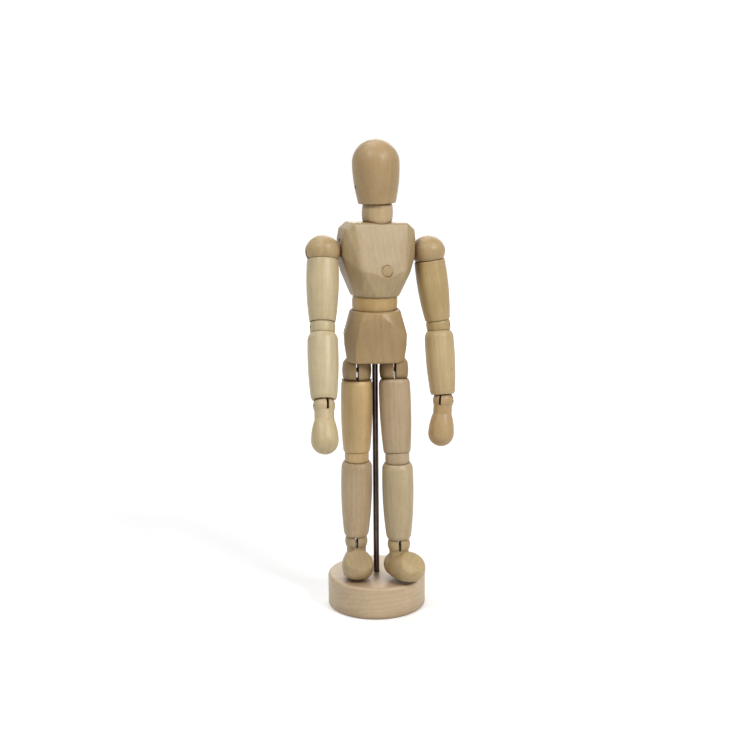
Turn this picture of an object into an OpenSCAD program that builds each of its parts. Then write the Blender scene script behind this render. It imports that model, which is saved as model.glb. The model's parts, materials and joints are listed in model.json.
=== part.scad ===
// Jointed wooden artist mannequin on a round stand.
// Millimetres, +Z up, origin at the centre of the stand's underside, the figure faces -Y.

/* [Stand] */
// Diameter of the round base
base_d = 63; // [56:1:80]
// Thickness of the base
base_h = 21; // [16:1:28]
// Radius of the eased edges of the base
base_edge = 1.8; // [0.6:0.2:3]
// Diameter of the steel rod
rod_d = 3.7; // [3:0.1:3.8]
// Depth of the rod's hole in the base
rod_in_base = 15; // [10:1:15]
// Depth of the rod's hole in the pelvis
rod_in_pelvis = 13; // [9:1:14]
// Distance of the rod behind the middle of the hips
rod_back = 3; // [2.5:0.1:4]

/* [Head and neck] */
// Largest diameter of the head
head_d = 29; // [27:0.5:32]
// Height of the head
head_h = 38.6; // [35:0.2:43]
// Diameter of the flat underside of the head
head_base_d = 23; // [22:0.2:25]
// Diameter of the neck piece
neck_d = 19.2; // [18:0.2:20]
// Diameter of the round seats of the neck
neck_seat_d = 20.6; // [20.4:0.2:21]
// Bare height of the neck between chest and head
neck_gap = 11.6; // [10:0.2:13]

/* [Torso] */
// Height of the chest block
chest_h = 45.4; // [43:0.2:50]
// Width of the chest at the shoulders
chest_w = 48; // [45:0.5:48]
// Diameter of the round underside of the chest
chest_low_d = 31.8; // [31.6:0.2:33]
// Depth of the chest from ridge to back
chest_depth = 31; // [30.5:0.5:35]
// Height of the breast ridge above the underside of the chest
ridge_h = 12.5; // [11.5:0.5:15]
// Sanded radius of the torso edges
torso_edge = 2; // [1.2:0.1:2]
// Diameter of the plug in the chest
plug_d = 7; // [5:0.2:8]
// Length of the plug in the chest
plug_length = 5; // [4:0.5:6]
// Diameter of the waist piece
waist_d = 28.4; // [27:0.2:29]
// Diameter of the round seats of the waist
waist_seat_d = 29.6; // [29.2:0.2:30]
// Bare height of the waist between pelvis and chest
waist_gap = 8.2; // [7:0.2:10]
// Height of the pelvis block
pelvis_h = 32.6; // [31.5:0.2:36]
// Width of the pelvis at its widest
pelvis_w = 39.6; // [38:0.2:41]
// Width of the pelvis at its underside
pelvis_base_w = 36; // [34:0.5:38]
// Depth of the pelvis at its underside
pelvis_depth = 28; // [27:0.5:31]
// Diameter of the top of the pelvis
pelvis_top_d = 32.4; // [31:0.2:34]

/* [Arms] */
// Distance between the shoulder ball centres
shoulder_span = 69.2; // [69:0.2:74]
// Height of the shoulder centres above the underside of the chest
shoulder_h = 28; // [27:0.2:30]
// Diameter of the shoulder ball
shoulder_d = 21.4; // [20:0.2:22]
// Height of the flattened top of the shoulder ball above its centre
shoulder_top = 9.4; // [8.6:0.2:9.8]
// Distance from shoulder centre to elbow centre
upper_arm_l = 47.8; // [45:0.2:53]
// Largest diameter of the upper arm
upper_arm_d = 19.8; // [19:0.2:20.4]
// Diameter of the upper arm near the elbow
upper_arm_low_d = 17; // [16:0.2:18]
// Distance from shoulder centre to the rim of the upper arm
shoulder_rim = 6.3; // [5.5:0.1:7]
// Diameter of the elbow piece
elbow_d = 15.4; // [14.4:0.2:15.6]
// Diameter of the round seats of the elbow
elbow_seat_d = 15.8; // [15.8:0.1:16.6]
// Bare height of the elbow between the two arm pieces
elbow_gap = 7.4; // [6.6:0.2:8.4]
// Distance from elbow centre to wrist centre
forearm_l = 47.7; // [45:0.2:53]
// Largest diameter of the forearm
forearm_d = 18.7; // [18:0.2:20]
// Diameter of the forearm near the wrist
forearm_low_d = 16.3; // [15:0.1:16.6]
// Distance from the rim of the forearm to wrist centre
wrist_rim = 3.9; // [3.6:0.1:4.4]
// Diameter of the wrist ball
wrist_d = 13.2; // [12.6:0.2:14]

/* [Hands] */
// Distance from wrist centre to the tip of the hand
hand_l = 29; // [26:0.5:33]
// Largest diameter of the hand
hand_d = 16.3; // [15:0.2:18]
// Diameter of the hand below the wrist ball
hand_neck_d = 11.8; // [10:0.2:12]

/* [Legs] */
// Distance between the hip ball centres
hip_span = 23.4; // [22.6:0.2:24]
// Height from hip centre to the underside of the pelvis
hip_rise = 5.9; // [5.5:0.1:6.4]
// Diameter of the hip piece
hip_d = 18.4; // [17.6:0.2:18.8]
// Diameter of the round seats of the hip
hip_seat_d = 19.9; // [19.5:0.1:20.5]
// Distance from hip centre to the rim of the thigh
hip_rim = 6; // [5.4:0.1:6.4]
// Distance from hip centre to knee centre of the right leg
right_thigh_l = 54.9; // [52:0.2:60]
// Distance from hip centre to knee centre of the left leg
left_thigh_l = 55.6; // [53:0.2:62]
// Largest diameter of the thigh
thigh_d = 20; // [19:0.2:20.2]
// Diameter of the thigh near the knee
thigh_low_d = 17.6; // [16.6:0.2:18]
// Diameter of the knee piece
knee_d = 15.3; // [14.6:0.2:16]
// Diameter of the round seats of the knee
knee_seat_d = 15.9; // [15.8:0.1:16.6]
// Bare height of the knee between thigh and shin
knee_gap = 6.2; // [5.8:0.2:7.6]
// Distance from knee centre to ankle centre
shin_l = 56.9; // [54:0.2:62]
// Largest diameter of the shin
shin_d = 19.8; // [19:0.2:20.2]
// Diameter of the shin near the ankle
shin_low_d = 16.4; // [15.6:0.2:17]
// Distance from the rim of the shin to ankle centre
ankle_rim = 4.3; // [4:0.1:5]
// Diameter of the ankle ball
ankle_d = 14.4; // [13.8:0.2:15]

/* [Feet] */
// Height of the ankle centre above the sole
ankle_h = 20.2; // [20:0.1:24]
// Length of the foot in front of the ankle
toe_l = 19.5; // [18:0.5:24]
// Length of the foot behind the ankle
heel_l = 10.5; // [9.5:0.5:12]
// Largest diameter of the turned foot
foot_d = 20.2; // [19:0.2:20.6]
// Diameter of the turned foot at the heel
heel_d = 16.4; // [15:0.2:17.5]
// Height of the turning axis of the foot above the sole
foot_axis_h = 6.2; // [5.4:0.2:7]
// Angle of the flat cut across the instep
instep_angle = 33; // [28:1:38]
// Height of the flat cut across the toes above the middle of the toes
toe_flat_h = 8; // [7.5:0.1:9]
// Direction of the toe cut, turned inwards from straight ahead
toe_flat_turn = 34; // [20:1:45]

/* [Fixings] */
// Diameter of the cross pins in the balls
pin_d = 1.5; // [1.2:0.1:1.8]
// Diameter of the long pins in the torso and head
long_pin_d = 2; // [1.6:0.1:2.4]
// Diameter of the spring wire
wire_d = 0.65; // [0.5:0.05:0.7]
// Outside diameter of the springs
coil_d = 4; // [3.4:0.1:4.2]
// Width of the saw slots in the balls
slot_w = 1.6; // [1.6:0.1:2]
// Gap between a ball and its seat
seat_gap = 0.25; // [0.2:0.05:0.35]
// Gap round a spring in its bore
bore_gap = 0.45; // [0.3:0.05:0.6]
// Gap between a wire loop and its pin
loop_gap = 0.2; // [0.1:0.05:0.3]
// Gap round a fixed pin, plug or rod end
fixed_gap = 0.02; // [0.01:0.01:0.04]
// Gap round the rod in the turning pelvis
turning_gap = 0.05; // [0.03:0.01:0.08]
// Gap between the lower sole and the base, the figure hanging on its rod
sole_gap = 2.9; // [2:0.1:3]

/* [Pose] */
// Sideways lean of the chest on the waist
chest_lean = 2.2; // [0:0.2:4]
// Turn of the chest on the waist, positive towards the figure's left
chest_turn = 16; // [0:1:20]
// Sideways lean of the head
head_lean = -1.6; // [-4:0.2:4]
// Forward swing of the right arm
right_arm_swing = 19; // [5:1:25]
// Outward tilt of the right arm
right_arm_out = 5; // [2:0.2:8]
// Forward bend of the right elbow
right_elbow_bend = 4; // [-6:1:12]
// Turn of the right elbow
right_elbow_turn = 4; // [-10:1:10]
// Forward bend of the right wrist
right_wrist_bend = 0; // [-8:1:12]
// Sideways lean of the right hand
right_hand_lean = 0; // [-6:1:6]
// Forward swing of the left arm
left_arm_swing = 4; // [-5:1:12]
// Outward tilt of the left arm
left_arm_out = 9; // [3:0.2:10]
// Forward bend of the left elbow
left_elbow_bend = 12; // [0:1:14]
// Turn of the left elbow
left_elbow_turn = 42; // [20:1:50]
// Forward bend of the left wrist
left_wrist_bend = 0; // [-8:1:12]
// Sideways lean of the left hand
left_hand_lean = 8; // [-6:1:10]
// Forward swing of the right thigh
right_thigh_swing = 4; // [-4:1:8]
// Outward tilt of the right thigh
right_thigh_out = 0.8; // [0.2:0.2:2]
// Backward bend of the right knee
right_knee_bend = 6; // [0:1:10]
// Turn of the right knee
right_knee_turn = 0; // [-10:1:0]
// Forward swing of the left thigh
left_thigh_swing = 12; // [6:1:14]
// Outward tilt of the left thigh
left_thigh_out = 1; // [0.2:0.2:2]
// Backward bend of the left knee
left_knee_bend = 12; // [6:1:16]
// Turn of the left knee
left_knee_turn = 1; // [0:1:10]
// Direction of the right foot, positive towards the figure's left
right_foot_turn = 2; // [-6:1:8]
// Direction of the left foot, positive towards the figure's left
left_foot_turn = 40; // [20:1:45]

/* [Hidden] */
$fn = 64;

// Sides of the figure
RIGHT = -1;
LEFT = 1;

// Colours of the woods and the steel
pale_wood = [0.79, 0.72, 0.57];
warm_wood = [0.72, 0.62, 0.46];
base_wood = [0.75, 0.66, 0.54];
steel = [0.42, 0.38, 0.36];
spring_steel = [0.55, 0.55, 0.56];

// Excess length of cutting bodies
over = 1;
// Outward bow of the barrel shaped joint pieces, as the radius of their side
barrel_bow = 24;
// Corner radius of the turned limbs
limb_round = 8;
// Wall left at the rim of a round seat
rim_wall = 0.45;
// Largest inset of the rounded lower end of a limb
low_inset = 1;
// Fineness of large shallow arcs
arc_fn = 320;
// Distance from the seat of a limb to the start of its spring
coil_inset = 1.2;
// Thickness of the closing turn of a spring
coil_end = wire_d;
// Radius of the hole that leads a hook to its pin
hook_hole_r = 1.7;
// Depth of the pins below the surface of their ball
pin_inset = 0.7;
// Wood left in front of the pins that are driven in from behind
front_wall = 3;
// Height of the plug above the low point of the ridge
plug_rise = 0.6;

wire_r = wire_d / 2;
shank_r = 0.9 * wire_r;
loop_r = pin_d / 2 + loop_gap + wire_r;
long_loop_r = long_pin_d / 2 + loop_gap + wire_r;
loop_room = loop_r + wire_r + 2 * loop_gap;
loop_offset = wire_r + loop_gap / 4;
bore_r = coil_d / 2 + bore_gap;
// Sideways place of the plug and the low point of the ridge
plug_x = 1.6;
torso_bore_r = bore_r + plug_x;

// Leg chain: joint centres of the pose, and the hip height that stands the longer leg on the base
function turn_x(a, v) = [v.x, v.y * cos(a) - v.z * sin(a), v.y * sin(a) + v.z * cos(a)];
function turn_y(a, v) = [v.x * cos(a) + v.z * sin(a), v.y, v.z * cos(a) - v.x * sin(a)];
function turn_z(a, v) = [v.x * cos(a) - v.y * sin(a), v.x * sin(a) + v.y * cos(a), v.z];
function of_side(s, right, left) = s == RIGHT ? right : left;
function thigh_l(s) = of_side(s, right_thigh_l, left_thigh_l);
function thigh_swing(s) = of_side(s, right_thigh_swing, left_thigh_swing);
function thigh_out(s) = of_side(s, right_thigh_out, left_thigh_out);
function knee_bend(s) = of_side(s, right_knee_bend, left_knee_bend);
function knee_turn(s) = of_side(s, right_knee_turn, left_knee_turn);
function foot_turn(s) = of_side(s, right_foot_turn, left_foot_turn);
function arm_swing(s) = of_side(s, right_arm_swing, left_arm_swing);
function arm_out(s) = of_side(s, right_arm_out, left_arm_out);
function elbow_bend(s) = of_side(s, right_elbow_bend, left_elbow_bend);
function elbow_turn(s) = of_side(s, right_elbow_turn, -left_elbow_turn);
function wrist_bend(s) = of_side(s, right_wrist_bend, left_wrist_bend);
function hand_lean(s) = of_side(s, right_hand_lean, left_hand_lean);
function by_thigh(s, v) = turn_y(-s * thigh_out(s), turn_x(-thigh_swing(s), v));
function by_shin(s, v) = by_thigh(s, turn_z(knee_turn(s), turn_x(knee_bend(s), v)));
function leg_reach(s) = by_thigh(s, [0, 0, -thigh_l(s)]) + by_shin(s, [0, 0, -shin_l]);

hip_z = base_h + sole_gap + ankle_h - min(leg_reach(RIGHT).z, leg_reach(LEFT).z);
function hip_at(s) = [s * hip_span / 2, -rod_back, hip_z];
function ankle_at(s) = hip_at(s) + leg_reach(s);

pelvis_z = hip_z + hip_rise;
waist_z = pelvis_z + pelvis_h + waist_gap / 2;
neck_up = waist_gap / 2 + chest_h + neck_gap / 2;
shoulder_up = waist_gap / 2 + shoulder_h;
waist_socket_r = waist_seat_d / 2 + seat_gap;
neck_socket_r = neck_seat_d / 2 + seat_gap;
hip_socket_r = hip_seat_d / 2 + seat_gap;
// Height of the pelvis pin, under the waist seat, from the waist centre
pelvis_pin_up = -waist_socket_r - long_loop_r - wire_d;
// Height of the chest pin, at the plug, from the waist centre
chest_pin_up = waist_gap / 2 + ridge_h + plug_rise + plug_d / 2;
// Height of the collar pin, above the shoulder spring, from the waist centre
collar_pin_up = shoulder_up + bore_r + long_pin_d / 2 + 2 * wire_d + long_loop_r;
// Height of the head pin above the neck centre
head_pin_up = neck_gap / 2 + neck_seat_d / 2;

// Frames of the joints
module at_hip(s) {
  translate(hip_at(s)) rotate([0, -s * thigh_out(s), 0]) children();
}
module at_thigh(s) {
  at_hip(s) rotate([-thigh_swing(s), 0, 0]) children();
}
module at_knee(s) {
  at_thigh(s) translate([0, 0, -thigh_l(s)]) rotate([0, 0, knee_turn(s)]) children();
}
module at_shin(s) {
  at_knee(s) rotate([knee_bend(s), 0, 0]) children();
}
module at_foot(s) {
  translate(ankle_at(s)) children();
}
module at_waist() {
  translate([0, -rod_back, waist_z]) rotate([0, chest_lean, chest_turn]) children();
}
module at_neck() {
  at_waist() translate([0, 0, neck_up]) children();
}
module at_head() {
  at_neck() rotate([0, head_lean - chest_lean, 0]) children();
}
module at_shoulder(s) {
  at_waist() translate([s * shoulder_span / 2, 0, shoulder_up]) rotate([-arm_swing(s), 0, 0]) children();
}
module at_upper_arm(s) {
  at_shoulder(s) rotate([0, -s * arm_out(s), 0]) children();
}
module at_elbow(s) {
  at_upper_arm(s) translate([0, 0, -upper_arm_l]) rotate([0, 0, elbow_turn(s)]) children();
}
module at_forearm(s) {
  at_elbow(s) rotate([-elbow_bend(s), 0, 0]) children();
}
module at_hand(s) {
  at_forearm(s) translate([0, 0, -forearm_l]) rotate([-wrist_bend(s), s * hand_lean(s), 0]) children();
}

// Outline waste that rounds the corner of a turned piece, from its end inwards
module corner_waste(r, z_end, inwards, inset) {
  round_h = sqrt(2 * limb_round * inset - inset * inset);
  z_round = z_end + inwards * round_h;
  difference() {
    translate([r - inset - over, min(z_end, z_round)])
      square([inset + 2 * over, round_h]);
    translate([r - limb_round, z_round])
      circle(limb_round);
  }
}

// Barrel side between two heights, fullest at z_belly and with radius r_low at z_low
module belly(r_belly, z_belly, r_low, z_low, z_top, z_bottom) {
  drop = r_belly - r_low;
  run = z_belly - z_low;
  side_r = (run * run + drop * drop) / (2 * drop);
  intersection() {
    translate([0, z_bottom])
      square([r_belly + over, z_top - z_bottom]);
    translate([r_belly - side_r, z_belly])
      circle(side_r, $fn = arc_fn);
  }
}

// Turned limb piece hanging from the origin, with round seats at both joint centres and a bore for its spring
module limb(length, top_rim, bottom_rim, d, low_d, top_seat_d, bottom_seat_d) {
  z_top = -top_rim;
  z_bottom = bottom_rim - length;
  z_belly = z_top - 0.3 * (z_top - z_bottom);
  z_low = z_bottom + limb_round / 2;
  top_socket_r = top_seat_d / 2 + seat_gap;
  bottom_socket_r = bottom_seat_d / 2 + seat_gap;
  top_rim_r = sqrt(top_socket_r * top_socket_r - top_rim * top_rim);
  bottom_rim_r = sqrt(bottom_socket_r * bottom_socket_r - bottom_rim * bottom_rim);
  difference() {
    rotate_extrude()
      difference() {
        belly(d / 2, z_belly, low_d / 2, z_low, z_top, z_bottom);
        corner_waste(d / 2, z_top, -1, max(d / 2 - top_rim_r - rim_wall, rim_wall));
        corner_waste(low_d / 2, z_bottom, 1, min(max(low_d / 2 - bottom_rim_r - rim_wall, rim_wall), low_inset));
      }
    sphere(top_socket_r);
    translate([0, 0, -length])
      sphere(bottom_socket_r);
    translate([0, 0, -length])
      cylinder(r = bore_r, h = length);
  }
}

// Barrel shaped joint piece that stays inside its round seats
module barrel(d, seat_d) {
  rotate_extrude()
    intersection() {
      translate([0, -seat_d / 2])
        square([seat_d / 2, seat_d]);
      circle(d = seat_d);
      translate([d / 2 - barrel_bow, 0])
        circle(barrel_bow, $fn = arc_fn);
    }
}

// Hole for a cross pin along X
module pin_hole(d, length) {
  rotate([0, 90, 0])
    cylinder(d = d + 2 * fixed_gap, h = length, center = true);
}

// Cross pin along X
module pin(d, length) {
  color(spring_steel)
    rotate([0, 90, 0])
      cylinder(d = d, h = length, center = true);
}

// Fan shaped saw slot in the YZ plane, opening downwards to an angle forwards and backwards
module fan_slot(reach, forwards, backwards) {
  rotate([90, 0, 90])
    linear_extrude(slot_w, center = true)
      union() {
        circle(loop_room);
        intersection() {
          circle(reach + over);
          polygon([
            [0, loop_room],
            [-2 * reach * sin(forwards), loop_room - 2 * reach * cos(forwards)],
            [0, -4 * reach],
            [2 * reach * sin(backwards), loop_room - 2 * reach * cos(backwards)]
          ]);
        }
      }
}

// Wire loop round a pin along X, with its shank down to the coil
module hook(r, shank, turn, offset) {
  rotate([0, 0, turn])
    translate([offset, 0, 0]) {
      rotate([0, 90, 0])
        rotate_extrude()
          translate([r, 0])
            circle(wire_r);
      translate([0, 0, -shank - coil_end / 2])
        cylinder(r = shank_r, h = shank + coil_end / 2 - r);
    }
}

// Closed tension spring hanging from the origin to -length, hooked at both ends
module spring(length, top_shank, bottom_shank, top_turn, bottom_turn, top_r, bottom_r) {
  coil_l = length - top_shank - bottom_shank;
  color(spring_steel) {
    translate([0, 0, -top_shank - coil_l])
      difference() {
        cylinder(d = coil_d, h = coil_l);
        translate([0, 0, coil_end])
          cylinder(d = coil_d - 2 * wire_d, h = coil_l - 2 * coil_end);
      }
    hook(top_r, top_shank, top_turn, -loop_offset);
    translate([0, 0, -length])
      mirror([0, 0, 1])
        hook(bottom_r, bottom_shank, bottom_turn, loop_offset);
  }
}

// Round base with eased edges and a hole for the rod
module base() {
  edge_x = base_d / 2 - base_edge;
  color(base_wood)
    difference() {
      rotate_extrude()
        union() {
          square([edge_x, base_h]);
          translate([0, base_edge])
            square([base_d / 2, base_h - 2 * base_edge]);
          for (z = [base_edge, base_h - base_edge])
            translate([edge_x, z])
              circle(base_edge);
        }
      translate([0, 0, base_h - rod_in_base])
        cylinder(d = rod_d + 2 * fixed_gap, h = rod_in_base + over);
    }
}

// Steel rod from the base into the pelvis
module rod() {
  rod_bottom = base_h - rod_in_base;
  rod_top = pelvis_z + rod_in_pelvis - seat_gap;
  color(steel)
    translate([0, 0, rod_bottom])
      cylinder(d = rod_d, h = rod_top - rod_bottom);
}

// Small sphere at each corner of a carved block
module corners(points) {
  for (p = points)
    translate(p)
      sphere(torso_edge, $fn = 32);
}

// Eased round edge of a carved block
module round_edge(r, z) {
  translate([0, 0, z])
    rotate_extrude($fn = 48)
      translate([r - torso_edge, 0])
        circle(torso_edge, $fn = 16);
}

// Carved pelvis block from its underside up
module pelvis_block() {
  e = torso_edge;
  side = pelvis_w / 2 - e;
  low_side = pelvis_base_w / 2 - e;
  deep = pelvis_depth / 2 - e;
  full_h = pelvis_h / 2;
  side_bow = 16;
  front_lean = 6;
  difference() {
    hull() {
      for (a = [-40, -15, 10, 35])
        corners([for (m = [-1, 1], y = [-deep / 2, deep / 2])
          [m * (side - side_bow * (1 - cos(a))), y, full_h - 2 + side_bow * sin(a)]]);
      corners([for (x = [-low_side, low_side], y = [-deep / 2, deep / 2]) [x, y, e]]);
      corners([for (x = [-0.75 * low_side, 0.75 * low_side], y = [-deep, deep]) [x, y, e]]);
      corners([for (x = [-0.5 * side, 0.5 * side], y = [-deep - 3, deep + 1]) [x, y, 0.72 * pelvis_h]]);
      corners([for (x = [-0.7 * low_side, 0.7 * low_side]) [x, -deep - 1.6, 0.25 * pelvis_h]]);
      round_edge(pelvis_top_d / 2, pelvis_h - e);
    }
    translate([0, -pelvis_depth / 2 + over / 2, 0])
      rotate([front_lean, 0, 0])
        translate([-pelvis_w, -pelvis_w, -pelvis_h])
          cube([2 * pelvis_w, pelvis_w, 3 * pelvis_h]);
  }
}

// Pelvis with its hip and waist seats, spring bores and the turning hole for the rod
module pelvis() {
  pin_z = pelvis_h + waist_gap / 2 + pelvis_pin_up;
  color(warm_wood)
    translate([0, -rod_back, pelvis_z])
      difference() {
        pelvis_block();
        for (s = [RIGHT, LEFT])
          translate([s * hip_span / 2, 0, -hip_rise]) {
            sphere(hip_socket_r);
            cylinder(r = bore_r, h = hip_rise + pin_z + long_loop_r + wire_d);
          }
        translate([0, 0, pelvis_h + waist_gap / 2])
          sphere(waist_socket_r);
        translate([0, 0, pin_z - long_loop_r - wire_d])
          cylinder(r = torso_bore_r, h = pelvis_h);
        translate([0, 0, pin_z])
          pin_hole(long_pin_d, pelvis_w + 2 * over);
        translate([0, rod_back, -over])
          cylinder(d = rod_d + 2 * turning_gap, h = rod_in_pelvis + over);
      }
}

// Long pin across the pelvis that holds the two hip springs and the torso spring
module pelvis_pin() {
  translate([0, -rod_back, waist_z + pelvis_pin_up])
    pin(long_pin_d, pelvis_top_d + long_pin_d);
}

// Waist piece, bored for the torso spring
module waist_ball() {
  color(warm_wood)
    at_waist()
      difference() {
        barrel(waist_d, waist_seat_d);
        cylinder(r = torso_bore_r, h = waist_seat_d + over, center = true);
      }
}

// Carved chest block from its underside up
module chest_block() {
  e = torso_edge;
  half = chest_w / 2 - e;
  low_r = chest_low_d / 2 - e;
  front = -chest_depth / 2 + e;
  back = chest_depth / 2 - e;
  top = chest_h - e;
  ridge_end = ridge_h + 4;
  ridge_half = 0.6 * half;
  ridge_side = 0.86 * half;
  union() {
    hull() {
      corners([for (x = [-0.76 * half, 0.76 * half], y = [0.5 * front, 0.6 * back]) [x, y, top]]);
      corners([for (x = [-0.94 * half, 0.94 * half], y = [0.4 * front, 0.5 * back]) [x, y, top - 3]]);
      corners([for (x = [-half, half], y = [0.3 * front, 0.4 * back], z = [shoulder_h - 3, top - 8.5]) [x, y, z]]);
      corners([for (x = [-ridge_half, ridge_half]) [x, front - 0.6, ridge_end]]);
      corners([[plug_x, front - 2.2, ridge_h]]);
      corners([for (x = [-ridge_side, ridge_side], y = [0.4 * front, 0.5 * back]) [x, y, ridge_end - 1]]);
      corners([for (x = [-0.6 * half, 0.6 * half], z = [ridge_end, top - 6]) [x, back, z]]);
    }
    hull() {
      corners([for (x = [-ridge_half, ridge_half]) [x, front - 0.6, ridge_end]]);
      corners([[plug_x, front - 2.2, ridge_h]]);
      corners([for (x = [-ridge_side, ridge_side], y = [0.4 * front, 0.5 * back]) [x, y, ridge_end - 1]]);
      corners([for (x = [-0.6 * half, 0.6 * half]) [x, back, ridge_end]]);
      corners([for (a = [15:30:345]) [low_r * cos(a), low_r * sin(a), e]]);
    }
  }
}

// Chest with its waist, neck and shoulder seats, bores and pin holes
module chest() {
  color(pale_wood)
    at_waist()
      difference() {
        translate([0, 0, waist_gap / 2])
          chest_block();
        sphere(waist_socket_r);
        translate([0, 0, neck_up])
          sphere(neck_socket_r);
        for (s = [RIGHT, LEFT])
          translate([s * shoulder_span / 2, 0, shoulder_up])
            sphere(shoulder_d / 2 + seat_gap);
        translate([plug_x, 0, 0])
          cylinder(r = bore_r, h = chest_pin_up + long_loop_r + wire_d);
        translate([0, 0, collar_pin_up - long_loop_r - wire_d])
          cylinder(r = bore_r, h = neck_up - collar_pin_up);
        translate([0, 0, shoulder_up])
          rotate([0, 90, 0])
            cylinder(r = bore_r, h = shoulder_span, center = true);
        translate([0, 0, collar_pin_up])
          pin_hole(long_pin_d, chest_w);
        plug_place() {
          translate([0, 0, -plug_length])
            cylinder(d = plug_d + 2 * fixed_gap, h = plug_length + chest_depth);
          translate([0, 0, -chest_depth + 2 * plug_length])
            cylinder(d = long_pin_d + 2 * fixed_gap, h = chest_depth);
        }
      }
}

// Frame of the plug: its axis along -Y at the ridge
module plug_place() {
  translate([plug_x, -chest_depth / 2, chest_pin_up])
    rotate([90, 0, 0])
      children();
}

// Slightly domed plug over the chest pin
module chest_plug() {
  dome_r = 3 * plug_d;
  proud = 1.2;
  color(warm_wood)
    at_waist()
      plug_place()
        intersection() {
          translate([0, 0, -plug_length])
            cylinder(d = plug_d, h = plug_length + proud);
          translate([0, 0, proud - dome_r])
            sphere(dome_r);
        }
}

// Pin behind the plug that holds the torso spring
module chest_pin() {
  pin_l = chest_depth - 3 * plug_length;
  color(spring_steel)
    at_waist()
      plug_place()
        translate([0, 0, -plug_length - pin_l])
          cylinder(d = long_pin_d, h = pin_l);
}

// Pin across the top of the chest that holds the neck spring
module collar_pin() {
  at_waist()
    translate([0, 0, collar_pin_up])
      pin(long_pin_d, 0.7 * chest_w);
}

// Spring through the waist piece, from the chest pin to the pelvis pin
module torso_spring() {
  shank = long_loop_r + 2 * wire_d + coil_d / 2;
  length = chest_pin_up - pelvis_pin_up;
  askew = atan(plug_x * sin(chest_turn) / length);
  at_waist()
    translate([plug_x, 0, chest_pin_up])
      rotate([-askew, 0, 0])
        spring(length, shank, shank, 90, -chest_turn, long_loop_r, long_loop_r);
}

// Spring across the chest between the two shoulder pins
module shoulder_spring() {
  shank = shoulder_d / 2 + coil_inset;
  at_waist()
    translate([shoulder_span / 2, 0, shoulder_up])
      rotate([0, 90, 0])
        rotate([0, 0, 90])
          spring(shoulder_span, shank, shank, -arm_swing(LEFT), -arm_swing(RIGHT), loop_r, loop_r);
}

// Neck piece, bored for its spring
module neck() {
  color(warm_wood)
    at_neck()
      difference() {
        barrel(neck_d, neck_seat_d);
        cylinder(r = bore_r, h = neck_seat_d + over, center = true);
      }
}

// Spring through the neck, from the head pin to the collar pin
module neck_spring() {
  top_shank = head_pin_up;
  bottom_shank = long_loop_r + wire_d;
  at_neck()
    translate([0, 0, head_pin_up])
      spring(head_pin_up + neck_up - collar_pin_up, top_shank, bottom_shank, 0, 0, long_loop_r, long_loop_r);
}

// Turned egg shaped head with its neck seat
module head() {
  r = head_d / 2;
  color(warm_wood)
    at_head()
      difference() {
        translate([0, 0, neck_gap / 2])
          rotate_extrude()
            union() {
              belly(r, head_h - r, head_base_d / 2, 0, head_h - r, 0);
              intersection() {
                translate([0, head_h - r])
                  circle(r);
                translate([0, head_h - r])
                  square(r);
              }
            }
        sphere(neck_socket_r);
        cylinder(r = bore_r, h = head_pin_up + long_loop_r + 2 * wire_d);
        translate([0, 0, head_pin_up])
          pin_hole(long_pin_d, head_d + 2 * over);
      }
}

// Pin across the head that holds the neck spring
module head_pin() {
  at_head()
    translate([0, 0, head_pin_up])
      pin(long_pin_d, head_base_d);
}

// Outline of the shoulder ball: round below its middle, flattened to a shallow dome above
module shoulder_outline() {
  r = shoulder_d / 2;
  side_r = 0.62 * r;
  side_x = r - side_r;
  rise = shoulder_top - side_r;
  dome_down = (side_x * side_x - rise * rise) / (2 * rise);
  dome_r = shoulder_top + dome_down - fixed_gap;
  union() {
    intersection() {
      circle(r);
      translate([0, -r])
        square([r, r]);
    }
    intersection() {
      translate([side_x, 0])
        circle(side_r);
      square(r);
    }
    intersection() {
      translate([0, -dome_down])
        circle(dome_r);
      square([r, r]);
      polygon([[0, -dome_down], [4 * side_x, 3 * dome_down], [0, 2 * r]]);
    }
  }
}

// Shoulder ball: slotted below and outwards for the arm's hook, drilled inwards for the chest's hook
module shoulder_ball(s) {
  color(warm_wood)
    at_shoulder(s)
      difference() {
        rotate_extrude()
          shoulder_outline();
        rotate([0, 0, s * 90])
          fan_slot(shoulder_d / 2, 95, 25);
        rotate([0, -s * 90, 0])
          cylinder(r = hook_hole_r, h = shoulder_d);
        translate([0, front_wall / 2, 0])
          rotate([0, 0, 90])
            pin_hole(pin_d, shoulder_d - front_wall);
      }
}

// Pin along Y in the shoulder ball, driven in from behind
module shoulder_pin(s) {
  at_shoulder(s)
    translate([0, (front_wall - pin_inset) / 2, 0])
      rotate([0, 0, 90])
        pin(pin_d, shoulder_d - front_wall - pin_inset);
}

// Upper arm
module upper_arm(s) {
  color(pale_wood)
    at_upper_arm(s)
      limb(upper_arm_l, shoulder_rim, elbow_gap / 2, upper_arm_d, upper_arm_low_d, shoulder_d, elbow_seat_d);
}

// Spring in the upper arm
module upper_arm_spring(s) {
  at_upper_arm(s)
    spring(upper_arm_l, shoulder_d / 2 + coil_inset, elbow_seat_d / 2 + coil_inset,
      -s * 90, elbow_turn(s), loop_r, loop_r);
}

// Elbow or knee piece: drilled above, slotted below, pinned along X
module hinge_ball(d, seat_d, forwards, backwards) {
  color(pale_wood)
    difference() {
      barrel(d, seat_d);
      fan_slot(seat_d / 2, forwards, backwards);
      cylinder(r = hook_hole_r, h = seat_d);
      pin_hole(pin_d, seat_d);
    }
}

// Elbow piece
module elbow_ball(s) {
  at_elbow(s)
    hinge_ball(elbow_d, elbow_seat_d, 50, 40);
}

// Pin through the elbow piece
module elbow_pin(s) {
  at_elbow(s)
    pin(pin_d, elbow_d - 2 * pin_inset);
}

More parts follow.
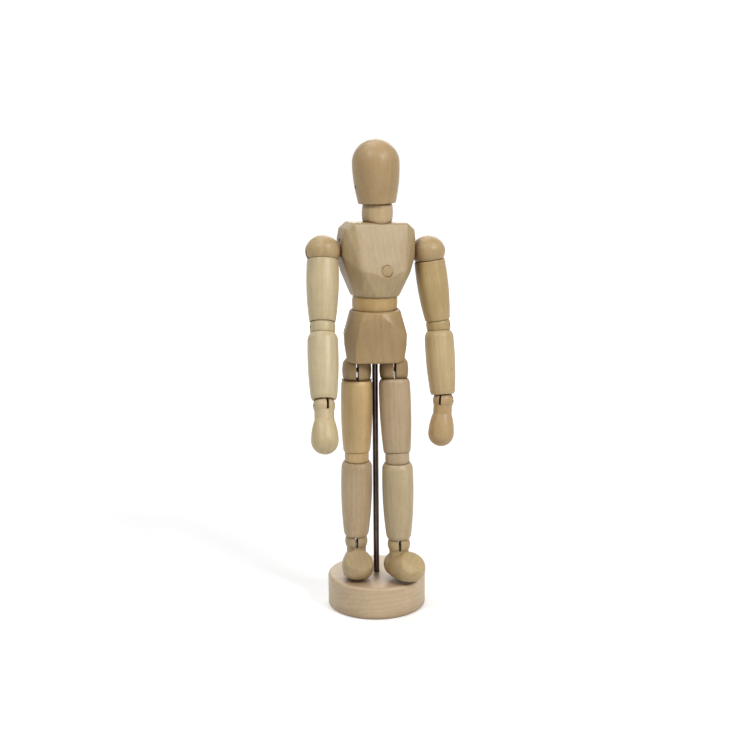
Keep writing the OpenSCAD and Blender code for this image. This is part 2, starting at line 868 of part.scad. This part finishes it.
// Forearm
module forearm(s) {
  color(pale_wood)
    at_forearm(s)
      limb(forearm_l, elbow_gap / 2, wrist_rim, forearm_d, forearm_low_d, elbow_seat_d, wrist_d);
}

// Spring in the forearm
module forearm_spring(s) {
  at_forearm(s)
    spring(forearm_l, elbow_seat_d / 2 + coil_inset, wrist_d / 2 + coil_inset, 0, 0, loop_r, loop_r);
}

// Crossed saw slots and pin hole in the ball of a hand or foot
module end_slots(d, lean = 0) {
  slot_low = 0.2 * d;
  side_low = loop_room;
  askew_w = slot_w + 2 * loop_room * tan(abs(lean));
  // Room for the hook, which stands askew where the piece leans
  if (lean != 0)
    translate([-askew_w / 2, -loop_room, -loop_room])
      cube([askew_w, 2 * loop_room, 2 * loop_room + over]);
  translate([-slot_w / 2, -d, -slot_low])
    cube([slot_w, 2 * d, d]);
  translate([-d, -slot_w / 2, side_low])
    cube([2 * d, slot_w, d]);
  pin_hole(pin_d, d);
}

// Hand turned in one piece with its wrist ball
module hand(s) {
  r = hand_d / 2;
  tip_z = -hand_l + r;
  neck_z = -0.62 * wrist_d;
  color(pale_wood)
    at_hand(s)
      difference() {
        rotate_extrude()
          union() {
            intersection() {
              circle(d = wrist_d);
              translate([0, neck_z])
                square([wrist_d, 2 * wrist_d]);
            }
            translate([0, neck_z - over])
              square([hand_neck_d / 2, over - neck_z]);
            translate([0, tip_z])
              mirror([0, 1])
                belly(r, 0, hand_neck_d / 2, tip_z - neck_z, 0, tip_z - neck_z - over);
            intersection() {
              translate([0, tip_z])
                circle(r);
              translate([0, -hand_l])
                square(r);
            }
          }
        end_slots(wrist_d, hand_lean(s));
      }
}

// Pin through the wrist ball
module wrist_pin(s) {
  at_hand(s)
    pin(pin_d, wrist_d - 2 * pin_inset);
}

// Spring from the hip pin up to the pelvis pin
module hip_spring(s) {
  length = waist_z + pelvis_pin_up - hip_z;
  translate(hip_at(s) + [0, 0, length])
    spring(length, long_loop_r + 2 * wire_d, hip_seat_d / 2 + coil_inset, 0, 0, long_loop_r, loop_r);
}

// Hip piece: slotted from below for the thigh's hook, drilled above for the pelvis hook
module hip_ball(s) {
  slot_top = hip_rise + wire_d;
  color(warm_wood)
    at_hip(s)
      difference() {
        barrel(hip_d, hip_seat_d);
        translate([-slot_w / 2, -hip_seat_d, -hip_seat_d])
          cube([slot_w, 2 * hip_seat_d, hip_seat_d + slot_top]);
        cylinder(r = hook_hole_r, h = hip_seat_d);
        pin_hole(pin_d, hip_seat_d);
      }
}

// Pin through the hip piece
module hip_pin(s) {
  at_hip(s)
    pin(pin_d, hip_d - 2 * pin_inset);
}

// Thigh
module thigh(s) {
  color(pale_wood)
    at_thigh(s)
      limb(thigh_l(s), hip_rim, knee_gap / 2, thigh_d, thigh_low_d, hip_seat_d, knee_seat_d);
}

// Spring in the thigh
module thigh_spring(s) {
  at_thigh(s)
    spring(thigh_l(s), hip_seat_d / 2 + coil_inset, knee_seat_d / 2 + coil_inset, 0, knee_turn(s), loop_r, loop_r);
}

// Knee piece
module knee_ball(s) {
  at_knee(s)
    hinge_ball(knee_d, knee_seat_d, 25, 62);
}

// Pin through the knee piece
module knee_pin(s) {
  at_knee(s)
    pin(pin_d, knee_d - 2 * pin_inset);
}

// Shin
module shin(s) {
  color(pale_wood)
    at_shin(s)
      limb(shin_l, knee_gap / 2, ankle_rim, shin_d, shin_low_d, knee_seat_d, ankle_d);
}

// Spring in the shin
module shin_spring(s) {
  at_shin(s)
    spring(shin_l, knee_seat_d / 2 + coil_inset, ankle_d / 2 + coil_inset, 0, -knee_turn(s), loop_r, loop_r);
}

// Foot turned about its length, cut flat under the sole and across the instep, with its ankle ball
module foot(s) {
  r = foot_d / 2;
  full_y = toe_l - r;
  neck_r = 0.43 * ankle_d;
  heel_round = heel_d / 2;
  toe_flat_tilt = 50;
  color(pale_wood)
    at_foot(s)
      difference() {
        union() {
          rotate_extrude()
            union() {
              intersection() {
                circle(d = ankle_d);
                translate([0, -ankle_d / 2])
                  square(ankle_d);
              }
              translate([0, foot_axis_h - ankle_h])
                square([neck_r, ankle_h - foot_axis_h]);
            }
          rotate([0, 0, foot_turn(s)])
            difference() {
              translate([0, 0, foot_axis_h - ankle_h])
                rotate([90, 90, 0])
                  rotate_extrude()
                    union() {
                      intersection() {
                        translate([0, full_y])
                          circle(r);
                        translate([0, full_y])
                          square(r);
                      }
                      belly(r, full_y, heel_round, heel_round - heel_l, full_y, heel_round - heel_l - over);
                      intersection() {
                        translate([0, heel_round - heel_l])
                          circle(heel_round);
                        translate([0, -heel_l])
                          square([heel_round, heel_round + over]);
                      }
                    }
              translate([-foot_d, -2 * toe_l, -ankle_h - foot_d])
                cube([2 * foot_d, 4 * toe_l, foot_d]);
              translate([0, -full_y, foot_axis_h - ankle_h])
                rotate([0, 0, -s * toe_flat_turn])
                  rotate([toe_flat_tilt, 0, 0])
                    translate([-foot_d, -foot_d, toe_flat_h])
                      cube(2 * foot_d);
              translate([0, -neck_r, foot_axis_h + r - ankle_h])
                rotate([instep_angle, 0, 0])
                  translate([-foot_d, -4 * toe_l, 0])
                    cube([2 * foot_d, 4 * toe_l, foot_d]);
            }
        }
        end_slots(ankle_d);
      }
}

// Pin through the ankle ball
module ankle_pin(s) {
  at_foot(s)
    pin(pin_d, ankle_d - 2 * pin_inset);
}

base();
rod();
pelvis();
pelvis_pin();
waist_ball();
chest();
chest_plug();
chest_pin();
collar_pin();
torso_spring();
shoulder_spring();
neck();
neck_spring();
head();
head_pin();
shoulder_ball(RIGHT);  // right_shoulder_ball
shoulder_pin(RIGHT);  // right_shoulder_pin
upper_arm(RIGHT);  // right_upper_arm
upper_arm_spring(RIGHT);  // right_upper_arm_spring
elbow_ball(RIGHT);  // right_elbow_ball
elbow_pin(RIGHT);  // right_elbow_pin
forearm(RIGHT);  // right_forearm
forearm_spring(RIGHT);  // right_forearm_spring
hand(RIGHT);  // right_hand
wrist_pin(RIGHT);  // right_wrist_pin
hip_spring(RIGHT);  // right_hip_spring
hip_ball(RIGHT);  // right_hip_ball
hip_pin(RIGHT);  // right_hip_pin
thigh(RIGHT);  // right_thigh
thigh_spring(RIGHT);  // right_thigh_spring
knee_ball(RIGHT);  // right_knee_ball
knee_pin(RIGHT);  // right_knee_pin
shin(RIGHT);  // right_shin
shin_spring(RIGHT);  // right_shin_spring
foot(RIGHT);  // right_foot
ankle_pin(RIGHT);  // right_ankle_pin
shoulder_ball(LEFT);  // left_shoulder_ball
shoulder_pin(LEFT);  // left_shoulder_pin
upper_arm(LEFT);  // left_upper_arm
upper_arm_spring(LEFT);  // left_upper_arm_spring
elbow_ball(LEFT);  // left_elbow_ball
elbow_pin(LEFT);  // left_elbow_pin
forearm(LEFT);  // left_forearm
forearm_spring(LEFT);  // left_forearm_spring
hand(LEFT);  // left_hand
wrist_pin(LEFT);  // left_wrist_pin
hip_spring(LEFT);  // left_hip_spring
hip_ball(LEFT);  // left_hip_ball
hip_pin(LEFT);  // left_hip_pin
thigh(LEFT);  // left_thigh
thigh_spring(LEFT);  // left_thigh_spring
knee_ball(LEFT);  // left_knee_ball
knee_pin(LEFT);  // left_knee_pin
shin(LEFT);  // left_shin
shin_spring(LEFT);  // left_shin_spring
foot(LEFT);  // left_foot
ankle_pin(LEFT);  // left_ankle_pin
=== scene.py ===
"""Wooden artist mannequin: materials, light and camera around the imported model."""

import json
import math

import bpy
from mathutils import Euler, Matrix, Vector


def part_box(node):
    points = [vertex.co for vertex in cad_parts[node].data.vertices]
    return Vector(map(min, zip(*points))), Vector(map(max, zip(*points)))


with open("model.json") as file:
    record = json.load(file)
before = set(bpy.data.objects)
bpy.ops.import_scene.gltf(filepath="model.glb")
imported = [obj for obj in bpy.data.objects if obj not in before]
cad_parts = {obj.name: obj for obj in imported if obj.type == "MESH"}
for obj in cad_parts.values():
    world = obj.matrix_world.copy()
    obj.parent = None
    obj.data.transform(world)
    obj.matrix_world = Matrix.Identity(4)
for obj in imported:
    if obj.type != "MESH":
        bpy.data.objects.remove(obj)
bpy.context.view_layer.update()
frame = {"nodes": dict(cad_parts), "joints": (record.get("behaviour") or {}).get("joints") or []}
NODES = frame["nodes"]
JOINTS = {joint["name"]: Vector(joint["pos_m"]) for joint in frame["joints"]}
SIDES = ("right", "left")
UP = Vector((0, 0, 1))
WHITE = (1, 1, 1, 1)
BLACK = (0, 0, 0, 1)

# Wood figure: features per metre, and how far they are drawn out along the grain
CLOUDS = 48.0
STREAKS = 260.0
FIBRES = 1500.0
RINGS = 95.0
FLECKS = 2300.0
RUBBED_SPOTS = 420.0
VARNISH_SPOTS = 210.0
GRAIN_STRETCH = (1.0, 1.0, 0.045)
FLECK_STRETCH = (1.0, 0.6, 0.14)

# Share of each part of the figure in the colour of the wood
STREAK_SHARE = 0.32
RING_SHARE = 0.5
FIBRE_SHARE = 0.6
FLECK_SHARE = 0.34
RUBBED_SHARE = 0.4

# Each piece is cut from another place in its blank: turn in degrees and shift in metres
BLANK_TURN = 47.0
BLANK_SHIFT = Vector((0.013, 0.031, 0.057))

# Radius in metres to which an edge looks rubbed: crisp where turned, wider where carved and sanded
TURNED_EDGE = 0.0006
CARVED_EDGE = 0.0018
CARVED = ("pelvis", "chest", "right_foot", "left_foot")

# Painted shade: creases and gaps narrower than this, in metres, get their colour darkened towards
# the tone below, standing in for the shade that falls there
PAINTED_SHADE_REACH = 0.012
PAINTED_SHADE_TONE = (0.46, 0.36, 0.27, 1)

# Satin varnish, and the depth in metres of the grain under it
VARNISH_ROUGHNESS = 0.4
VARNISH_WEIGHT = 0.16
VARNISH_COAT_ROUGHNESS = 0.3
GRAIN_DEPTH = 0.00012

# Steel: features per metre, how far scratches are drawn out, and their depth in metres
SCRATCHES = 5200.0
TARNISH = 130.0
SCRATCH_STRETCH = (1.0, 1.0, 0.01)
SCRATCH_DEPTH = 0.00003

# Floor: half its width in metres, its paper, and a glow that rises away from the object
FLOOR_HALF = 6.0
PAPER = (0.8, 0.8, 0.8, 1)
GLOW = {"From Min": 0.25, "From Max": 1.6, "To Min": 0.36, "To Max": 0.9}
WORLD_LIGHT = 0.2

# Camera, from the base's ellipses, the figure's height and the slant of the rod
HEADING = math.radians(-4.0)
PITCH = math.radians(11.49)
ROLL = math.radians(-0.45)
DISTANCE = 0.745
HEIGHT = 0.303
SENSOR = 36.0
LENS = 57.8
CLIP_START = 0.05

# Places of the colour sockets on a Mix node
MIX_INPUTS = (0, 6, 7)
MIX_RESULT = 2


def srgb(r, g, b):
    """An 8-bit sRGB colour as linear RGBA."""
    def linear(v):
        v /= 255.0
        return v / 12.92 if v <= 0.04045 else ((v + 0.055) / 1.055) ** 2.4

    return (linear(r), linear(g), linear(b), 1.0)


def scaled(colour, *factors):
    """A colour with its red, green and blue multiplied, at most to white."""
    return tuple(min(1.0, c * k) for c, k in zip(colour, factors)) + (1.0,)


def shades(r, g, b):
    """The light and the dark shade of a wood, from its mean colour."""
    mean = srgb(r, g, b)
    return scaled(mean, 1.10, 1.10, 1.11), scaled(mean, 0.87, 0.85, 0.81)


# Mean colour of each wood: the turned pieces come from several blanks
BASE = shades(204, 183, 152)
PELVIS = shades(168, 142, 100)
CHEST = shades(172, 152, 115)
PLUG = shades(176, 152, 112)
HEAD = shades(170, 144, 102)
NECK = shades(193, 170, 131)
WAIST = shades(182, 153, 101)
BALL = {"right": shades(180, 157, 114), "left": shades(177, 152, 110)}
ARM = {"right": shades(198, 182, 145), "left": shades(182, 158, 111)}
FOREARM = {"right": shades(203, 188, 152), "left": shades(190, 168, 126)}
HAND = {"right": shades(200, 182, 143), "left": shades(182, 155, 112)}
THIGH = {"right": shades(205, 177, 127), "left": shades(178, 157, 126)}
SHIN = {"right": shades(187, 165, 131), "left": shades(186, 168, 133)}
FOOT = {"right": shades(174, 154, 117), "left": shades(186, 164, 120)}
ROD_STEEL = srgb(103, 89, 82)
WIRE_STEEL = srgb(150, 148, 146)


class Graph:
    """A short way to write the shader nodes of a material or a world."""

    def __init__(self, owner):
        owner.use_nodes = True
        self.owner = owner
        self.tree = owner.node_tree
        self.tree.nodes.clear()

    def put(self, value, socket):
        """Links an output to an input, or sets the input to a plain value."""
        if isinstance(value, bpy.types.NodeSocket):
            self.tree.links.new(value, socket)
        else:
            socket.default_value = value

    def node(self, kind, inputs=None, **settings):
        made = self.tree.nodes.new(kind)
        for key, value in settings.items():
            setattr(made, key, value)
        for key, value in (inputs or {}).items():
            self.put(value, made.inputs[key])
        return made

    def mapped(self, vector, **inputs):
        return self.node("ShaderNodeMapping", {"Vector": vector, **inputs}).outputs["Vector"]

    def noise(self, vector, scale, detail, roughness=0.5):
        inputs = {"Vector": vector, "Scale": scale, "Detail": detail, "Roughness": roughness}
        return self.node("ShaderNodeTexNoise", inputs).outputs["Fac"]

    def math(self, operation, a, b, clamp=False):
        made = self.node("ShaderNodeMath", {0: a, 1: b}, operation=operation, use_clamp=clamp)
        return made.outputs[0]

    def ramp(self, factor, low, low_colour, high, high_colour):
        made = self.node("ShaderNodeValToRGB", {"Fac": factor})
        stops = ((low, low_colour), (high, high_colour))
        for element, (place, colour) in zip(made.color_ramp.elements, stops):
            element.position = place
            element.color = colour
        return made.outputs["Color"]

    def grey_ramp(self, factor, low, high):
        return self.ramp(factor, low, BLACK, high, WHITE)

    def mix(self, factor, a, b, blend="MIX"):
        made = self.node("ShaderNodeMix", data_type="RGBA", blend_type=blend)
        for place, value in zip(MIX_INPUTS, (factor, a, b)):
            self.put(value, made.inputs[place])
        return made.outputs[MIX_RESULT]

    def finish(self, shader, output="ShaderNodeOutputMaterial"):
        self.put(shader, self.node(output).inputs["Surface"])
        return self.owner


def into_piece(origin, along, turn):
    """Rotation and shift that put a piece's origin at zero and its grain along Z."""
    lay = Vector(along).normalized().rotation_difference(UP).to_matrix()
    matrix = Matrix.Rotation(math.radians(turn), 3, "Z") @ lay
    return matrix.to_euler(), -(matrix @ Vector(origin))


def turned_wood(name, light, dark, origin, along, seed, edge):
    """Pale close-grained hardwood under satin varnish, with its grain along one direction."""
    g = Graph(bpy.data.materials.new(name))
    turn, shift = into_piece(origin, along, BLANK_TURN * seed)
    here = g.node("ShaderNodeTexCoord").outputs["Object"]
    local = g.mapped(here, Rotation=turn, Location=shift + BLANK_SHIFT * (seed + 1))
    drawn = g.mapped(local, Scale=GRAIN_STRETCH)
    flecked = g.mapped(local, Scale=FLECK_STRETCH)

    # Colour: clouds and streaks between the two shades, then rings, fibres and dark flecks
    streaks = g.noise(drawn, STREAKS, 3.0)
    fibres = g.noise(drawn, FIBRES, 6.0, 0.65)
    rings = g.node(
        "ShaderNodeTexWave",
        {"Vector": drawn, "Scale": RINGS, "Distortion": 5.0, "Detail": 3.0, "Detail Scale": 1.4},
        wave_type="BANDS",
        bands_direction="X",
    ).outputs["Fac"]
    flecks = g.grey_ramp(g.noise(flecked, FLECKS, 2.0, 0.4), 0.63, 0.72)
    tone = g.ramp(g.noise(local, CLOUDS, 3.0, 0.55), 0.3, dark, 0.72, light)
    tone = g.mix(STREAK_SHARE, tone, g.ramp(streaks, 0.35, dark, 0.65, light))
    ring_shade = g.ramp(rings, 0.0, (0.90, 0.86, 0.80, 1), 1.0, WHITE)
    tone = g.mix(RING_SHARE, tone, ring_shade, "MULTIPLY")
    fibre_shade = g.ramp(fibres, 0.28, (0.84, 0.79, 0.72, 1), 0.6, (1.02, 1.01, 1.0, 1))
    tone = g.mix(FIBRE_SHARE, tone, fibre_shade, "MULTIPLY")
    tone = g.mix(g.math("MULTIPLY", flecks, FLECK_SHARE), tone, scaled(dark, 0.55, 0.48, 0.4))

    # Wear: lighter where the rounded normal of an edge departs from the face's own
    own_normal = g.node("ShaderNodeNewGeometry").outputs["Normal"]
    round_normal = g.node("ShaderNodeBevel", {"Radius": edge}, samples=6).outputs[0]
    alike = g.node(
        "ShaderNodeVectorMath", {0: round_normal, 1: own_normal}, operation="DOT_PRODUCT"
    ).outputs["Value"]
    worn = g.math("MULTIPLY", g.math("SUBTRACT", 1.0, alike, clamp=True), 4.0, clamp=True)
    worn = g.math("MULTIPLY", worn, g.grey_ramp(g.noise(local, RUBBED_SPOTS, 2.0), 0.35, 0.6))
    tone = g.mix(g.math("MULTIPLY", worn, RUBBED_SHARE), tone, scaled(light, 1.16, 1.16, 1.16))

    # Painted shade: colour darkened by ambient occlusion where pieces meet or stand close, standing
    # in for the shade in creases and gaps
    painted_shade_occlusion = g.node("ShaderNodeAmbientOcclusion", {"Distance": PAINTED_SHADE_REACH}, samples=8)
    painted_crease_shade = g.mix(1.0, tone, PAINTED_SHADE_TONE, "MULTIPLY")
    # The darkening is painted shade in the colour, not a stain of the wood
    tone = g.mix(g.grey_ramp(painted_shade_occlusion.outputs["AO"], 0.12, 0.86), painted_crease_shade, tone)

    # Varnish: uneven sheen over grain that can just be felt
    rough = g.math("MULTIPLY", g.noise(local, VARNISH_SPOTS, 3.0), 0.16)
    rough = g.math("ADD", rough, VARNISH_ROUGHNESS)
    rough = g.math("ADD", rough, g.math("MULTIPLY", worn, 0.12))
    height = g.math("ADD", g.math("MULTIPLY", fibres, 0.7), g.math("MULTIPLY", flecks, -0.5))
    bump = g.node(
        "ShaderNodeBump",
        {"Strength": 0.16, "Distance": GRAIN_DEPTH, "Height": height, "Normal": round_normal},
    ).outputs["Normal"]
    shader = g.node(
        "ShaderNodeBsdfPrincipled",
        {
            "Base Color": tone,
            "Roughness": rough,
            "Normal": bump,
            "Coat Weight": VARNISH_WEIGHT,
            "Coat Roughness": VARNISH_COAT_ROUGHNESS,
        },
    )
    return g.finish(shader.outputs["BSDF"])


def drawn_steel(name, colour, roughness):
    """Steel drawn through a die: fine scratches along Z and a little tarnish."""
    g = Graph(bpy.data.materials.new(name))
    here = g.node("ShaderNodeTexCoord").outputs["Object"]
    scratch = g.noise(g.mapped(here, Scale=SCRATCH_STRETCH), SCRATCHES, 4.0, 0.6)
    tarnish = g.noise(here, TARNISH, 5.0, 0.6)
    tone = g.ramp(tarnish, 0.34, scaled(colour, 0.62, 0.62, 0.62), 0.62, colour)
    scratch_shade = g.ramp(scratch, 0.3, (0.7, 0.7, 0.7, 1), 0.7, (1.1, 1.1, 1.1, 1))
    tone = g.mix(0.3, tone, scratch_shade, "MULTIPLY")
    rough = g.math("MULTIPLY", g.math("ADD", scratch, tarnish), 0.12)
    rough = g.math("ADD", rough, roughness)
    bump = g.node(
        "ShaderNodeBump", {"Strength": 0.2, "Distance": SCRATCH_DEPTH, "Height": scratch}
    ).outputs["Normal"]
    shader = g.node(
        "ShaderNodeBsdfPrincipled",
        {"Base Color": tone, "Roughness": rough, "Normal": bump, "Metallic": 1.0},
    )
    return g.finish(shader.outputs["BSDF"])


def dress(node, material):
    """Gives a CAD node one material in place of its own."""
    mesh = NODES[node].data
    mesh.materials.clear()
    mesh.materials.append(material)


def middle(node):
    low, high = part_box(node)
    return (low + high) / 2


def wood_pieces():
    """Each wooden node with its shades, grain origin and grain direction."""
    yield "base", BASE, (0, 0, 0), (1, 0.15, 0.05)
    yield "pelvis", PELVIS, middle("pelvis"), UP
    yield "waist_ball", WAIST, JOINTS["waist_turn"], UP
    yield "chest", CHEST, middle("chest"), JOINTS["neck_turn"] - JOINTS["waist_turn"]
    yield "chest_plug", PLUG, middle("chest_plug"), (0.3, 1, 0.1)
    yield "neck", NECK, JOINTS["neck_turn"], UP
    yield "head", HEAD, middle("head"), UP
    for side in SIDES:
        shoulder = JOINTS[f"{side}_shoulder_swing"]
        elbow = JOINTS[f"{side}_elbow_turn"]
        wrist = JOINTS[f"{side}_wrist_turn"]
        hip = JOINTS[f"{side}_hip_spread"]
        knee = JOINTS[f"{side}_knee_turn"]
        ankle = JOINTS[f"{side}_ankle_turn"]
        yield f"{side}_shoulder_ball", BALL[side], shoulder, (0.2, 0.1, 1)
        yield f"{side}_upper_arm", ARM[side], shoulder, shoulder - elbow
        yield f"{side}_elbow_ball", ARM[side], elbow, shoulder - elbow
        yield f"{side}_forearm", FOREARM[side], elbow, elbow - wrist
        yield f"{side}_hand", HAND[side], wrist, wrist - middle(f"{side}_hand")
        yield f"{side}_hip_ball", PELVIS, hip, UP
        yield f"{side}_thigh", THIGH[side], hip, hip - knee
        yield f"{side}_knee_ball", THIGH[side], knee, hip - knee
        yield f"{side}_shin", SHIN[side], knee, knee - ankle
        yield f"{side}_foot", FOOT[side], ankle, (0.15, 1, 0.1)


def dress_all():
    """Wood on the turned and carved pieces, steel on the rod, pins and springs."""
    for seed, (node, (light, dark), origin, along) in enumerate(wood_pieces()):
        edge = CARVED_EDGE if node in CARVED else TURNED_EDGE
        dress(node, turned_wood(f"wood_{node}", light, dark, origin, along, seed, edge))
    dress("rod", drawn_steel("rod_steel", ROD_STEEL, 0.2))
    wire = drawn_steel("wire_steel", WIRE_STEEL, 0.28)
    for node in NODES:
        if node.endswith(("_pin", "_spring")):
            dress(node, wire)


def add_lamp(name, place, aim, size, power, colour=(1.0, 1.0, 1.0)):
    """A round soft lamp turned to a height on the figure's axis."""
    lamp = bpy.data.lights.new(name, "AREA")
    lamp.shape = "DISK"
    lamp.size = size
    lamp.energy = power
    lamp.color = colour
    made = bpy.data.objects.new(name, lamp)
    made.location = place
    made.rotation_mode = "QUATERNION"
    made.rotation_quaternion = (aim * UP - Vector(place)).to_track_quat("-Z", "Y")
    bpy.context.scene.collection.objects.link(made)


def add_lamps():
    add_lamp("key", (0.8, -0.9, 1.05), aim=0.16, size=0.5, power=12.2, colour=(1.0, 0.985, 0.96))
    add_lamp("fill", (-0.62, -0.75, 1.3), aim=0.16, size=0.45, power=7.2, colour=(0.97, 0.985, 1.0))
    add_lamp("top", (-0.15, 0.35, 1.3), aim=0.18, size=0.8, power=4.0)
    add_lamp("back", (0.25, 1.3, 0.75), aim=0.16, size=0.9, power=5.0)


def seen_white(g, lit, white):
    """White to the camera and in reflections, the lit shader to all other rays."""
    path = g.node("ShaderNodeLightPath")
    seen = g.math("MAXIMUM", path.outputs["Is Camera Ray"], path.outputs["Is Glossy Ray"])
    seen = g.math("MAXIMUM", seen, path.outputs["Is Transmission Ray"])
    return g.node("ShaderNodeMixShader", {"Fac": seen, 1: lit, 2: white}).outputs[0]


def add_floor():
    """White paper that keeps the object's shadow."""
    signs = ((-1, -1), (1, -1), (1, 1), (-1, 1))
    mesh = bpy.data.meshes.new("floor")
    mesh.from_pydata([(x * FLOOR_HALF, y * FLOOR_HALF, 0) for x, y in signs], [], [(0, 1, 2, 3)])
    floor = bpy.data.objects.new("floor", mesh)
    bpy.context.scene.collection.objects.link(floor)
    g = Graph(bpy.data.materials.new("floor_paper"))
    lit = g.node("ShaderNodeBsdfDiffuse", {"Color": PAPER}).outputs[0]
    here = g.node("ShaderNodeTexCoord").outputs["Object"]
    away = g.node("ShaderNodeVectorMath", {0: here}, operation="LENGTH").outputs["Value"]
    strength = g.node("ShaderNodeMapRange", {"Value": away, **GLOW}).outputs["Result"]
    glow = g.node("ShaderNodeEmission", {"Color": WHITE, "Strength": strength}).outputs[0]
    shadowed = g.node("ShaderNodeAddShader", {0: lit, 1: glow}).outputs[0]
    mesh.materials.append(g.finish(seen_white(g, lit, shadowed)))


def add_world():
    """Soft light from all round in front of a white background."""
    g = Graph(bpy.data.worlds.new("studio"))
    soft = g.node("ShaderNodeBackground", {"Color": WHITE, "Strength": WORLD_LIGHT}).outputs[0]
    white = g.node("ShaderNodeBackground", {"Color": WHITE, "Strength": 1.0}).outputs[0]
    shader = seen_white(g, soft, white)
    bpy.context.scene.world = g.finish(shader, "ShaderNodeOutputWorld")


def add_camera():
    lens = bpy.data.cameras.new("camera")
    lens.sensor_width = SENSOR
    lens.lens = LENS
    lens.clip_start = CLIP_START
    camera = bpy.data.objects.new("camera", lens)
    camera.location = (DISTANCE * math.sin(HEADING), -DISTANCE * math.cos(HEADING), HEIGHT)
    facing = Euler((math.pi / 2 - PITCH, 0.0, HEADING)).to_matrix()
    camera.rotation_euler = (facing @ Matrix.Rotation(ROLL, 3, "Z")).to_euler()
    bpy.context.scene.collection.objects.link(camera)
    bpy.context.scene.camera = camera


dress_all()
add_lamps()
add_floor()
add_world()
add_camera()
bpy.context.scene.view_settings.view_transform = "Standard"
